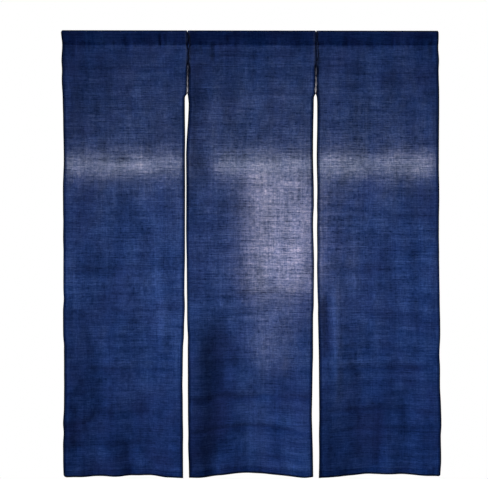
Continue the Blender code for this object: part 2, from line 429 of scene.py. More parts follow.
class ClothSettings(bpy.types.PropertyGroup):
    """Sizes and colours of the linen."""

    thickness: FloatProperty(
        name="Thickness", description="Thickness of one layer of cloth", default=0.0005, unit="LENGTH"
    )
    lapped: FloatProperty(
        name="Lapped", description="Space between two layers that lie on each other", default=0.0003,
        unit="LENGTH",
    )
    side_hem: FloatProperty(
        name="Side hem", description="Width of the narrow hem down each side", default=0.011,
        unit="LENGTH",
    )
    columns: IntProperty(name="Columns", description="Grid columns across a panel", default=108, min=8)
    rows: IntProperty(name="Rows", description="Grid rows down the hanging sheet", default=340, min=8)
    ripple: FloatProperty(
        name="Ripple", description="Height of the soft unevenness all over the cloth", default=0.0014,
        unit="LENGTH",
    )
    pucker: FloatProperty(
        name="Pucker", description="Height of the puckers along the stitch lines", default=0.0006,
        unit="LENGTH",
    )
    deep_indigo: FloatVectorProperty(
        name="Deep indigo", description="Colour of the darkest yarns", subtype="COLOR", size=4,
        default=(0.0030, 0.0145, 0.084, 1.0), min=0.0, max=1.0,
    )
    indigo: FloatVectorProperty(
        name="Indigo", description="Colour of the cloth", subtype="COLOR", size=4,
        default=(0.0070, 0.032, 0.150, 1.0), min=0.0, max=1.0,
    )
    pale_indigo: FloatVectorProperty(
        name="Pale indigo", description="Colour of the palest yarns", subtype="COLOR", size=4,
        default=(0.022, 0.062, 0.212, 1.0), min=0.0, max=1.0,
    )
    # Painted shade: the colour painted on the rims of the edges and of the folds over the rod and at the
    # hem, for the shade where the cloth turns away.
    rim_shade_indigo: FloatVectorProperty(
        name="Rim indigo", description="Colour of the folded rims, where the dye sits thickest",
        subtype="COLOR", size=4, default=(0.0012, 0.0045, 0.020, 1.0), min=0.0, max=1.0,
    )
    # Painted highlight: the pale colour painted along the ridges beside the lacing, for the light they
    # catch.
    highlight_indigo: FloatVectorProperty(
        name="Worn indigo", description="Colour of the worn ridges beside the lacing",
        subtype="COLOR", size=4, default=(0.065, 0.085, 0.155, 1.0), min=0.0, max=1.0,
    )
    violet_indigo: FloatVectorProperty(
        name="Violet indigo", description="Colour of the clouds that lean to violet",
        subtype="COLOR", size=4, default=(0.022, 0.030, 0.135, 1.0), min=0.0, max=1.0,
    )
    shine_through: FloatVectorProperty(
        name="Shine through", description="Colour of light that comes through one layer",
        subtype="COLOR", size=4, default=(0.31, 0.485, 0.93, 1.0), min=0.0, max=1.0,
    )
    open_weave: FloatVectorProperty(
        name="Open weave", description="Colour of light that comes through where the yarns are thin",
        subtype="COLOR", size=4, default=(0.360, 0.497, 0.86, 1.0), min=0.0, max=1.0,
    )
    sheerness: FloatProperty(
        name="Sheerness", description="Share of the light that goes through the yarns", default=0.35,
        subtype="FACTOR", min=0.0, max=1.0,
    )
    yarn_pitch: FloatProperty(
        name="Yarn pitch", description="Distance from yarn to yarn in the weave", default=0.00085,
        unit="LENGTH",
    )


class ThreadSettings(bpy.types.PropertyGroup):
    """Sizes and colours of the sewing."""

    radius: FloatProperty(
        name="Radius", description="Radius of the sewing thread", default=0.00032, unit="LENGTH"
    )
    lace: FloatProperty(
        name="Lace radius", description="Radius of the strands that lace the panels at the top",
        default=0.0016, unit="LENGTH",
    )
    cord: FloatProperty(
        name="Cord radius", description="Radius of the pale strands below the lacing",
        default=0.0013, unit="LENGTH",
    )
    stitch: FloatProperty(
        name="Stitch", description="Length of a stitch that shows", default=0.0034, unit="LENGTH"
    )
    pitch: FloatProperty(
        name="Pitch", description="Distance from stitch to stitch", default=0.0052, unit="LENGTH"
    )
    navy: FloatVectorProperty(
        name="Navy thread", description="Colour of the navy thread", subtype="COLOR", size=4,
        default=(0.0020, 0.0055, 0.025, 1.0), min=0.0, max=1.0,
    )
    pale: FloatVectorProperty(
        name="Pale thread", description="Colour of the pale thread", subtype="COLOR", size=4,
        default=(0.42, 0.42, 0.49, 1.0), min=0.0, max=1.0,
    )
    bled: FloatVectorProperty(
        name="Bled dye", description="Colour of the dye that bled into the pale thread",
        subtype="COLOR", size=4, default=(0.02, 0.035, 0.10, 1.0), min=0.0, max=1.0,
    )


class StudioSettings(bpy.types.PropertyGroup):
    """The stage, the lights and the camera."""

    distance: FloatProperty(
        name="Distance", description="From the camera to the curtain", default=3.2, unit="LENGTH"
    )
    floor: FloatProperty(
        name="Floor", description="Height of the floor", default=-2.02, unit="LENGTH"
    )
    floor_radius: FloatProperty(
        name="Floor radius", description="Radius of the floor", default=1.8, unit="LENGTH"
    )
    fill: FloatProperty(name="Fill", description="Light from all around", default=0.10, min=0.0)
    key: FloatProperty(name="Key", description="Strength of the key light", default=3.5, min=0.0)
    back: FloatProperty(name="Back", description="Strength of the light behind", default=0.78, min=0.0)


def smooth(at, places, values):
    """The curve through a table's rows: a cubic between each two, whose slope at a row is the harmonic
    mean of the chords to either side, or level where the chords turn, so that it never overshoots."""
    places, values = np.array(places, float), np.array(values, float)
    step = np.diff(places)
    chord = np.diff(values) / step
    slope = np.zeros_like(values)
    slope[0], slope[-1] = chord[0], chord[-1]
    before, after = chord[:-1], chord[1:]
    same = before * after > 0
    slope[1:-1][same] = 2 * before[same] * after[same] / (before[same] + after[same])
    i = np.clip(np.searchsorted(places, at, side="right") - 1, 0, len(places) - 2)
    t = np.clip((at - places[i]) / step[i], 0.0, 1.0)
    return (
        values[i] * (1 + 2 * t) * (1 - t) ** 2
        + slope[i] * step[i] * t * (1 - t) ** 2
        + values[i + 1] * t**2 * (3 - 2 * t)
        - slope[i + 1] * step[i] * t**2 * (1 - t)
    )


def ramp(at, begins, full):
    """0 up to begins and 1 from full on, by the cubic 3t2 - 2t3 between."""
    t = np.clip((at - begins) / (full - begins), 0.0, 1.0)
    return t * t * (3 - 2 * t)


def column(table, name):
    """One named column of a table."""
    return np.array([getattr(row, name) for row in table])


def edge_x(table, side, below):
    """X of a panel's edge at a distance below the top edge. A slit's two edges are its middle line
    less or plus half its gap, so they can't cross where the gap is nothing."""
    places = column(table, "below")
    if side == "x":
        return smooth(below, places, column(table, "x"))
    left, right = column(table, "left"), column(table, "right")
    middle = smooth(below, places, (left + right) / 2)
    half_gap = smooth(below, places, (right - left) / 2) + SEAM_SPACE / 2
    return middle + (half_gap if side == "right" else -half_gap)


def folds(panel, across, width, below):
    """Depth of the hanging folds: each is a bell across the panel, exp(-d2/2), that grows down it."""
    depth = np.zeros(np.broadcast(across, below).shape)
    for fold in FOLDS[panel]:
        away = (across - fold.across) * width - fold.lean * below / DROP
        grown = ramp(below, fold.begins, fold.full)
        grown = grown * (1 - ramp(below, fold.gone - FOLD_END, fold.gone))
        depth = depth + fold.depth * grown * np.exp(-0.5 * (away / fold.half_width) ** 2)
    return depth


def furrows(panel, across, width, below):
    """Depth of the furrows: each is a bell across the panel, faded in and out over a quarter of its
    length."""
    depth = np.zeros(np.broadcast(across, below).shape)
    for furrow in FURROWS[panel]:
        long = furrow.ends - furrow.begins
        down = (below - furrow.begins) / long
        away = (across - furrow.across) * width - furrow.lean * down
        shown = ramp(down, 0.0, 0.3) * (1 - ramp(down, 0.7, 1.0))
        depth = depth + furrow.depth * shown * np.exp(-0.5 * (away / furrow.half_width) ** 2)
    return depth


def creases(panel, across, below):
    """Depth of the creases: each is a narrow bell about an arched line, faded out at its two ends."""
    depth = np.zeros(np.broadcast(across, below).shape)
    for crease in CREASES[panel]:
        middle = (crease.starts + crease.ends) / 2
        half = (crease.ends - crease.starts) / 2
        along = (across - middle) / half
        line = crease.below - crease.rise * along / 2 + crease.sag * along**2
        shown = 1 - ramp(np.abs(along), 0.6, 1.05)
        depth = depth + crease.depth * shown * np.exp(-0.5 * ((below - line) / crease.half_width) ** 2)
    return depth


def ripples(x, below, height):
    """Unevenness all over: a sum of seeded sine waves of 30 to 260 mm, longer ones higher, which run
    mostly down the cloth, as a curtain that has hung a while has."""
    draw = np.random.default_rng(41)
    total = np.zeros(np.broadcast(x, below).shape)
    for length in np.geomspace(RIPPLE_SHORTEST, RIPPLE_LONGEST, RIPPLE_WAVES):
        turn = draw.normal(0.0, 0.75)
        phase = draw.uniform(0, 2 * math.pi)
        wave = 2 * math.pi / length * (x * math.cos(turn) + below * math.sin(turn))
        total = total + (length / RIPPLE_LONGEST) ** 0.9 * np.sin(wave + phase)
    return height * total / 1.9 * ramp(below, 0.015, 0.12)


def puckers(x, below, height):
    """Short upright waves along the pocket's and the hem's stitch lines, and a narrow groove on each,
    where the thread draws the cloth in."""
    draw = np.random.default_rng(7)
    total = np.zeros(np.broadcast(x, below).shape)
    for length in (0.011, 0.017, 0.026, 0.041):
        total = total + np.sin(2 * math.pi * x / length + draw.uniform(0, 2 * math.pi))
    near_pocket = np.exp(-0.5 * ((below - POCKET) / 0.012) ** 2)
    near_hem = np.exp(-0.5 * ((below - (DROP - HEM)) / 0.010) ** 2)
    drawn_in = np.exp(-0.5 * ((below - POCKET) / 0.003) ** 2)
    drawn_in = drawn_in + np.exp(-0.5 * ((below - (DROP - HEM)) / 0.003) ** 2)
    return height * (total / 2 * (near_pocket + 0.7 * near_hem) + 1.2 * drawn_in)


def clouds(panel, across, width, below):
    """How much lighter the cloth is painted at each point, by uneven dye and by painted shade and
    painted light: a sum of bells, exp(-d2/2), one for each cloud.
    """
    paler = np.zeros(np.broadcast(across, below).shape)
    for cloud in PLACED_TONE_AND_SHADE[panel]:
        aside = (across - cloud.across) * width / cloud.half_width
        down = (below - cloud.below) / cloud.half_height
        paler = paler + cloud.paler * np.exp(-0.5 * (aside**2 + down**2))
    return paler


def section(cloth):
    """The cloth's section, as arrays of how far each row lies below the top edge and behind the sheet:
    up the hem, round its fold, up the sheet, out to the rod, over it in a half circle and down again."""
    pitch = cloth.thickness + cloth.lapped
    middle = pitch / 2
    t = np.linspace(0, 1, HEM_ROWS)
    hem_below, hem_behind = DROP - HEM + t * (HEM - HEM_ROUND), pitch + t * (2 * HEM_ROUND - pitch)
    turn = np.linspace(0, math.pi, TURN_ROWS + 2)[1:-1]
    fold_below = DROP - HEM_ROUND + HEM_ROUND * np.sin(turn)
    fold_behind = HEM_ROUND * (1 + np.cos(turn))
    t = np.linspace(0, 1, cloth.rows)
    t = t + CLOSER * np.sin(math.pi * t) * (1 - np.cos(math.pi * t)) / math.pi
    sheet_below, sheet_behind = DROP - HEM_ROUND + t * (POCKET - DROP + HEM_ROUND), 0 * t
    lean = math.asin((ROD_ROUND - middle) / math.hypot(POCKET - ROD_ROUND, middle))
    out, out_below = middle - ROD_ROUND * math.cos(lean), ROD_ROUND + ROD_ROUND * math.sin(lean)
    t = np.linspace(0, 1, POCKET_ROWS)[1:]
    front_below, front_behind = POCKET + t * (out_below - POCKET), t * out
    turn = np.linspace(-lean, math.pi + lean, ROD_ROWS)[1:-1]
    rod_below, rod_behind = ROD_ROUND - ROD_ROUND * np.sin(turn), middle - ROD_ROUND * np.cos(turn)
    t = np.linspace(1, 0, POCKET_ROWS)
    back_below, back_behind = POCKET + t * (out_below - POCKET), pitch - t * out
    tail_below, tail_behind = np.array([POCKET + POCKET_TAIL]), np.array([pitch])
    below = np.concatenate(
        [hem_below, fold_below, sheet_below, front_below, rod_below, back_below, tail_below]
    )
    behind = np.concatenate(
        [hem_behind, fold_behind, sheet_behind, front_behind, rod_behind, back_behind, tail_behind]
    )
    return below, behind


def outermost(cloth, below, side):
    """How far behind the sheet its outermost layer lies: the pocket's bulge to the front where side is
    below zero, and the pocket's back and the sheet below it where side is above."""
    rows, behind = section(cloth)
    top = int(np.argmin(rows))
    if side < 0:
        first = HEM_ROWS + TURN_ROWS
        return np.interp(below, rows[first : top + 1][::-1], behind[first : top + 1][::-1])
    return np.interp(below, rows[top:], behind[top:], right=0.0)


def columns_across(count, width):
    """Shares of the width, even but for a few columns close to each edge, where the cloth turns back."""
    near = np.array([0.0, 0.0006, 0.0013, 0.0022, 0.0034, 0.0050, 0.0072, 0.0100]) / width
    inner = np.linspace(near[-1], 1 - near[-1], count - 2 * len(near) + 2)
    return np.concatenate([near[:-1], inner, 1 - near[-2::-1]])


def seam_edges(panel, across, width, below):
    """Where edges that are sewn together turn to the back, a bell over the last 2 mm, and where the
    turned cloth raises a ridge beside them, a bell 6 mm in, both from 0 to 1."""
    turned = np.zeros(np.broadcast(across, below).shape)
    ridge = np.zeros_like(turned)
    sewn_here = 1 - ramp(below, SEWN_TO - 0.01, SEWN_TO + 0.03)
    for table, away in ((panel.left, across * width), (panel.right, (1 - across) * width)):
        if table in (LEFT_SLIT, RIGHT_SLIT):
            turned = turned + sewn_here * np.exp(-0.5 * (away / 0.0016) ** 2)
            ridge = ridge + sewn_here * np.exp(-0.5 * ((away - 0.0060) / 0.0013) ** 2)
    return turned, ridge


def dye(panel, across, width, below):
    """How much lighter the cloth is painted at each point: its clouds, with painted shade in the
    furrows and creases that lie back and painted light where they stand forward.
    """
    lines = furrows(panel.node, across, width, below) + creases(panel.node, across, below)
    # Painted shade in the troughs and painted light on the ridges, in proportion to their depth.
    return clouds(panel.node, across, width, below) - LINE_SHADE * lines


def from_edge(panel, across, width, below):
    """Distance from the nearer side edge. Where an edge is laced it counts as 8 mm further, because
    the lacing covers it, and halfway down as 2 mm further, a bell, which narrows the painted shade of
    the rims and the hem's band there."""
    laced = LACED_IN * (1 - ramp(below, LACED_TO - 0.01, LACED_TO + 0.01))
    left = across * width + laced * (panel.left is LEFT_SLIT or panel.left is RIGHT_SLIT)
    right = (1 - across) * width + laced * (panel.right is LEFT_SLIT or panel.right is RIGHT_SLIT)
    return np.minimum(left, right) + 0.002 * np.exp(-0.5 * ((below - 0.85) / 0.2) ** 2)


def worn(panel, across, width, below):
    """How strongly the ridges beside the lacing are painted with a highlight, 0 to 1: in patches, by
    two sine waves down them, in other places on a panel's left and on its right."""
    ridge = seam_edges(panel, across, width, below)[1]
    turn = 2 * math.pi * below
    short_waves = np.sin(turn / 0.017 + 2.0 * across)
    long_waves = np.sin(turn / 0.041 + 4.0 * across)
    patches = 0.6 + 0.2 * short_waves + 0.2 * long_waves
    return ridge * patches * (1 - ramp(below, LACED_TO - 0.02, LACED_TO + 0.01))


def cloth_points(panel, cloth, across, below, behind):
    """Points of the cloth at shares of a panel's width and rows of its section: X between the panel's
    two edges, Z down by the row, with the foot's own line faded in as the cube of the drop, and Y by
    the section plus folds, creases, ripples and puckers."""
    left = edge_x(panel.left, panel.left_side, below)
    right = edge_x(panel.right, panel.right_side, below)
    width = right - left
    x = left + across * width
    turned, ridge = seam_edges(panel, across, width, below)
    foot = FEET[panel.node]
    lower = smooth(across, column(foot, "across"), column(foot, "lower"))
    depth = (
        folds(panel.node, across, width, below)
        + furrows(panel.node, across, width, below)
        + creases(panel.node, across, below)
        + ripples(x, below, cloth.ripple)
        + puckers(x, below, cloth.pucker)
        + SEAM_TURN * turned
        - SEAM_RIDGE * ridge
    )
    y = SHEET_Y + behind + depth
    z = TOP_SLOPE * x * (1 - below / DROP) - below - lower * (below / DROP) ** 3
    return np.stack(np.broadcast_arrays(x, y, z), axis=-1)


def link_mesh(name, mesh, material):
    """A finished mesh as an object that rides on the curtain's one body."""
    mesh.materials.append(material)
    mesh.shade_smooth()
    piece = bpy.data.objects.new(name, mesh)
    bpy.context.scene.collection.objects.link(piece)
    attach(piece, "root")
    return piece


def grid_mesh(name, points, uv):
    """A mesh of quads through a grid of points, rows by columns, with a UV map in metres."""
    rows, columns = points.shape[:2]
    first = (np.arange(rows - 1)[:, None] * columns + np.arange(columns - 1)[None, :]).ravel()
    quads = np.stack([first, first + 1, first + columns + 1, first + columns], axis=1)
    mesh = bpy.data.meshes.new(name)
    mesh.vertices.add(rows * columns)
    mesh.vertices.foreach_set("co", points.astype(np.float32).ravel())
    mesh.loops.add(quads.size)
    mesh.loops.foreach_set("vertex_index", quads.astype(np.int32).ravel())
    mesh.polygons.add(len(quads))
    mesh.polygons.foreach_set("loop_start", np.arange(0, quads.size, 4, dtype=np.int32))
    mesh.update(calc_edges=True)
    layer = mesh.uv_layers.new(name="cloth")
    layer.data.foreach_set("uv", uv.reshape(-1, 2)[quads.ravel()].astype(np.float32).ravel())
    return mesh


def sweep(path, radius, sides, side_from, plies=0, lay=1.0):
    """A closed tube: rings about each point of a path, in the plane of two arrows square to it, the
    first being the path's direction crossed with side_from, and a flat cap at each end. With plies,
    a ring has that many soft lobes, which turn once for each lay of length along the path."""
    ahead = np.gradient(path, axis=0)
    run = np.concatenate([[0.0], np.cumsum(np.linalg.norm(np.diff(path, axis=0), axis=1))])
    ahead /= np.linalg.norm(ahead, axis=1, keepdims=True)
    first = np.cross(ahead, side_from)
    first /= np.linalg.norm(first, axis=1, keepdims=True)
    second = np.cross(ahead, first)
    turn = np.arange(sides) * 2 * math.pi / sides
    lobes = np.cos(plies * turn[None, :] + 2 * math.pi * run[:, None] / lay)
    reach = radius * (1 + 0.13 * lobes * (plies > 0))
    ring = np.cos(turn)[None, :, None] * first[:, None] + np.sin(turn)[None, :, None] * second[:, None]
    points = path[:, None] + reach[..., None] * ring
    count = len(path)
    i, j = np.meshgrid(np.arange(count - 1), np.arange(sides), indexing="ij")
    k = (j + 1) % sides
    quads = np.stack([i * sides + j, i * sides + k, (i + 1) * sides + k, (i + 1) * sides + j], axis=-1)
    faces = quads.reshape(-1, 4)[:, ::-1].tolist()
    faces.append(list(range(sides)))
    faces.append(list(range(count * sides - 1, (count - 1) * sides - 1, -1)))
    return points.reshape(-1, 3), faces


def joined(parts):
    """Several parts, each of points and faces, as one."""
    points, faces, shift = [], [], 0
    for more, there in parts:
        points.append(more)
        faces += [[i + shift for i in face] for face in there]
        shift += len(more)
    return np.concatenate(points), faces


def stitches(starts, ends, outward, radius, rise):
    """Short threads as closed spindles, all at once: each runs straight from start to end, rises as
    the sine of its length and has a round section whose radius falls to nothing at both ends."""
    rings, sides = 5, 6
    t = np.arange(1, rings + 1) / (rings + 1)
    run = ends - starts
    along = run / np.linalg.norm(run, axis=1, keepdims=True)
    side = np.cross(along, outward)
    side /= np.linalg.norm(side, axis=1, keepdims=True)
    middle = starts[:, None] + t[None, :, None] * run[:, None]
    middle = middle + rise * np.sin(math.pi * t)[None, :, None] * outward[:, None]
    turn = np.arange(sides) * 2 * math.pi / sides
    thick = radius * np.sin(math.pi * t) ** 0.35
    ring = np.cos(turn)[None, :, None] * side[:, None] + np.sin(turn)[None, :, None] * outward[:, None]
    points = middle[:, :, None] + thick[None, :, None, None] * ring[:, None]
    each = rings * sides + 2
    made = np.concatenate([points.reshape(len(starts), -1, 3), starts[:, None], ends[:, None]], axis=1)
    j = np.arange(sides)
    k = (j + 1) % sides
    quads = np.concatenate(
        [np.stack([r * sides + j, r * sides + k, (r + 1) * sides + k, (r + 1) * sides + j], 1)
         for r in range(rings - 1)]
    )
    last = (rings - 1) * sides
    foot_fan = np.stack([np.full(sides, each - 2), k, j], 1)
    head_fan = np.stack([np.full(sides, each - 1), last + j, last + k], 1)
    shift = np.arange(len(starts))[:, None, None] * each
    faces = (quads[None] + shift).reshape(-1, 4).tolist()
    faces += (foot_fan[None] + shift).reshape(-1, 3).tolist()
    faces += (head_fan[None] + shift).reshape(-1, 3).tolist()
    return made.reshape(-1, 3), faces


class Nodes:
    """A material's node tree, built from values and links in few words."""

    def __init__(self, name):
        self.material = bpy.data.materials.new(name)
        self.material.use_nodes = True
        self.tree = self.material.node_tree
        self.shader = self.tree.nodes["Principled BSDF"]
        self.output = self.tree.nodes["Material Output"]

    def add(self, kind, inputs=None, **settings):
        """A node of a kind, with its settings, and its inputs set to values or linked to sockets."""
        node = self.tree.nodes.new(kind)
        for key, value in settings.items():
            setattr(node, key, value)
        for key, value in (inputs or {}).items():
            if isinstance(value, bpy.types.NodeSocket):
                self.tree.links.new(value, node.inputs[key])
            else:
                node.inputs[key].default_value = value
        return node

    def maths(self, operation, first, second=0.5, third=0.0):
        """A sum worked out from up to three numbers or sockets."""
        node = self.add("ShaderNodeMath", {0: first, 1: second, 2: third}, operation=operation)
        return node.outputs[0]

    def noise(self, vector, scale, detail=2.0, roughness=0.5, shift=(0.0, 0.0, 0.0)):
        """Noise on a stretched pattern: scale is cells for each metre along each axis."""
        place = self.add(
            "ShaderNodeMapping", {"Vector": vector, "Scale": scale, "Location": shift}
        ).outputs[0]
        return self.add(
            "ShaderNodeTexNoise",
            {"Vector": place, "Scale": 1.0, "Detail": detail, "Roughness": roughness},
        ).outputs["Fac"]

    def spread(self, value, low, high, to_low=0.0, to_high=1.0):
        """A value's range from low to high, stretched to another range and held inside it."""
        node = self.add(
            "ShaderNodeMapRange",
            {"Value": value, "From Min": low, "From Max": high, "To Min": to_low, "To Max": to_high},
        )
        return node.outputs[0]

    def between(self, factor, first, second):
        """A colour between two, which are the mix node's inputs 6 and 7."""
        node = self.add("ShaderNodeMix", data_type="RGBA")
        for key, value in ((0, factor), (6, first), (7, second)):
            if isinstance(value, bpy.types.NodeSocket):
                self.tree.links.new(value, node.inputs[key])
            else:
                node.inputs[key].default_value = value
        return node.outputs[2]

    def link(self, socket, node, key):
        """Links a socket to a node's input."""
        self.tree.links.new(socket, node.inputs[key])


# The layers of noise that make the yarns: cells for each metre across and down, detail, where in the
# noise the layer is taken from, and its share.
Yarn = namedtuple("Yarn", "kind across down detail shift share")
YARNS = (
    Yarn("long lines", 4.0, 250.0, 0.0, (7.7, 2.3, 0.0), 0.14),
    Yarn("long slubs", 13.0, 285.0, 1.0, (0.0, 0.0, 0.0), 0.30),
    Yarn("short slubs", 72.0, 300.0, 1.0, (3.7, 0.4, 0.0), 0.34),
    Yarn("warp", 235.0, 45.0, 1.0, (0.2, 8.1, 0.0), 0.20),
    Yarn("flecks", 210.0, 300.0, 1.0, (9.2, 5.3, 0.0), 0.19),
    Yarn("streaks", 130.0, 4.0, 1.0, (6.6, 1.7, 0.0), 0.13),
    Yarn("patches", 20.0, 60.0, 2.0, (4.1, 3.3, 0.0), 0.10),
)


def linen(cloth):
    """Indigo linen in plain weave. The pattern follows the cloth's own UV map, in metres: X across the
    panel along the weft, Y down it along the warp. Uneven yarns make it, a sum of the layers in YARNS.
    Pale yarn is thin: it took less dye and lets more light through a Translucent share, greyer light
    where it is thinnest. Soft clouds come from noise, which is uneven dye and of which some lean to
    violet, and from an attribute of uneven dye, painted shade and painted light. The side hems are
    doubled. The rims at edges and folds are painted darkest, as painted shade, and the ridges beside
    the lacing carry a painted highlight."""
    n = Nodes("indigo_linen")
    uv = n.add("ShaderNodeUVMap", uv_map="cloth").outputs[0]
    yarn = 0.0
    for layer in YARNS:
        noise = n.noise(uv, (layer.across, layer.down, 1.0), layer.detail, 0.5, layer.shift)
        yarn = n.maths("MULTIPLY_ADD", noise, layer.share, yarn)
    yarn = n.spread(yarn, 0.51, 0.83)
    upright_clouds = n.noise(uv, (17.0, 5.0, 1.0), 3.0, 0.6, (5.0, 2.0, 0.0))
    level_clouds = n.noise(uv, (5.0, 26.0, 1.0), 4.0, 0.65, (1.0, 6.0, 0.0))
    # An attribute of uneven dye, painted shade and painted light: clouds, painted shade in the furrows and
    # creases and painted light on the ridges.
    placed_tone_and_shade = n.add("ShaderNodeAttribute", attribute_name="paler").outputs["Fac"]
    clouds_sum = n.maths("ADD", upright_clouds, level_clouds)
    cloudy = n.maths("ADD", n.spread(clouds_sum, 0.74, 1.26), placed_tone_and_shade)
    # The dye's share here carries that painted shade and light into the colour.
    dye = n.maths("MULTIPLY_ADD", cloudy, 0.60, n.maths("MULTIPLY", yarn, 0.42))
    darker = n.between(n.spread(dye, 0.10, 0.50), tuple(cloth.deep_indigo), tuple(cloth.indigo))
    colour = n.between(n.spread(dye, 0.50, 0.90), darker, tuple(cloth.pale_indigo))
    tone = n.spread(n.noise(uv, (7.0, 6.0, 1.0), 2.0, 0.6, (2.0, 9.0, 0.0)), 0.42, 0.66)
    colour = n.between(n.maths("MULTIPLY", tone, 0.42), colour, tuple(cloth.violet_indigo))
    inward = n.add("ShaderNodeAttribute", attribute_name="from_edge").outputs["Fac"]
    hem_band = n.spread(inward, cloth.side_hem, cloth.side_hem - 0.0012)
    upward = n.add("ShaderNodeAttribute", attribute_name="from_fold").outputs["Fac"]
    # Painted shade: near black within a few millimetres of the side edges and of the folds at the top and
    # the foot, which also let little light through.
    rim_shade = n.maths("MAXIMUM", n.spread(inward, 0.0062, 0.0034), n.spread(upward, 0.0068, 0.0044))
    # Painted highlight on the ridges beside the lacing.
    highlight = n.add("ShaderNodeAttribute", attribute_name="worn").outputs["Fac"]
    colour = n.between(n.maths("MULTIPLY", hem_band, 0.35), colour, tuple(cloth.deep_indigo))
    colour = n.between(n.maths("MULTIPLY", rim_shade, 0.92), colour, tuple(cloth.rim_shade_indigo))
    colour = n.between(highlight, colour, tuple(cloth.highlight_indigo))
    parts = n.add("ShaderNodeSeparateXYZ", {0: uv}).outputs
    weave = n.maths(
        "MULTIPLY",
        n.maths("SINE", n.maths("MULTIPLY", parts[0], math.pi / cloth.yarn_pitch)),
        n.maths("SINE", n.maths("MULTIPLY", parts[1], math.pi / cloth.yarn_pitch)),
    )
    height = n.maths("MULTIPLY_ADD", yarn, 1.4, n.maths("MULTIPLY", weave, 0.55))
    height = n.maths("MULTIPLY_ADD", hem_band, 0.8, height)
    bump = n.add("ShaderNodeBump", {"Height": height, "Strength": 0.5, "Distance": 0.0005}).outputs[0]
    n.link(colour, n.shader, "Base Color")
    n.link(bump, n.shader, "Normal")
    n.link(n.spread(yarn, 0.2, 0.8, 0.97, 0.82), n.shader, "Roughness")
    n.shader.inputs["Specular IOR Level"].default_value = 0.06
    n.shader.inputs["Sheen Weight"].default_value = 0.03
    n.shader.inputs["Sheen Roughness"].default_value = 0.5
    n.shader.inputs["Sheen Tint"].default_value = tuple(cloth.pale_indigo)
    thin = n.spread(yarn, 0.0, 1.0, 0.42, 1.44)
    thin = n.maths("MULTIPLY", thin, n.spread(cloudy, -0.5, 1.5, 0.66, 1.32))
    thin = n.maths("MULTIPLY", thin, n.spread(hem_band, 0.0, 1.0, 1.0, 0.50))
    thin = n.maths("MULTIPLY", thin, n.spread(rim_shade, 0.0, 1.0, 1.0, 0.15))
    thin = n.maths("MULTIPLY", thin, n.maths("MULTIPLY_ADD", weave, 0.18, 1.0))
    tint = n.add("ShaderNodeMix", data_type="RGBA", blend_type="MULTIPLY")
    tint.inputs[0].default_value = 1.0
    openness = n.spread(thin, 0.9, 1.6)
    n.link(n.between(openness, tuple(cloth.shine_through), tuple(cloth.open_weave)), tint, 7)
    n.link(n.add("ShaderNodeCombineColor", {0: thin, 1: thin, 2: thin}).outputs[0], tint, 6)
    through = n.add("ShaderNodeBsdfTranslucent", {"Color": tint.outputs[2], "Normal": bump})
    both = n.add(
        "ShaderNodeMixShader",
        {0: cloth.sheerness, 1: n.shader.outputs[0], 2: through.outputs[0]},
    )
    n.link(both.outputs[0], n.output, "Surface")
    return n.material


def thread(name, colour, bled):
    """Sewing thread: fine bands aslant as its plies turn, and a softly uneven dye. The colour bled is
    strongest at BLED_FULL below the top edge and has gone at BLED_TO."""
    n = Nodes(name)
    place = n.add("ShaderNodeTexCoord").outputs["Object"]
    plies = n.add(
        "ShaderNodeTexWave",
        {"Vector": place, "Scale": 500.0, "Distortion": 1.5, "Detail": 1.0, "Detail Scale": 2.0},
        bands_direction="DIAGONAL",
    ).outputs["Fac"]
    fuzz = n.noise(place, (300.0, 300.0, 300.0), 2.0)
    shade = n.maths("MULTIPLY_ADD", plies, 0.5, n.maths("MULTIPLY", fuzz, 0.5))
    dark = tuple(DARK_PLY * c for c in colour[:3]) + (1.0,)
    pale = tuple(min(1.0, PALE_PLY * c) for c in colour[:3]) + (1.0,)
    height = n.add("ShaderNodeSeparateXYZ", {0: place}).outputs[2]
    share = n.spread(height, -BLED_TO, -BLED_FULL, 0.0, 0.8)
    n.link(n.between(share, n.between(shade, dark, pale), tuple(bled)), n.shader, "Base Color")
    n.link(n.spread(fuzz, 0.3, 0.7, 0.75, 0.95), n.shader, "Roughness")
    bump = n.add("ShaderNodeBump", {"Height": plies, "Strength": 0.4, "Distance": 0.0001}).outputs[0]
    n.link(bump, n.shader, "Normal")
    n.shader.inputs["Sheen Weight"].default_value = 0.15
    n.shader.inputs["Sheen Tint"].default_value = pale
    n.shader.inputs["Specular IOR Level"].default_value = 0.15
    return n.material


def material(name, make):
    """The material of that name, made the first time it is asked for."""
    found = bpy.data.materials.get(name)
    return found if found is not None else make()


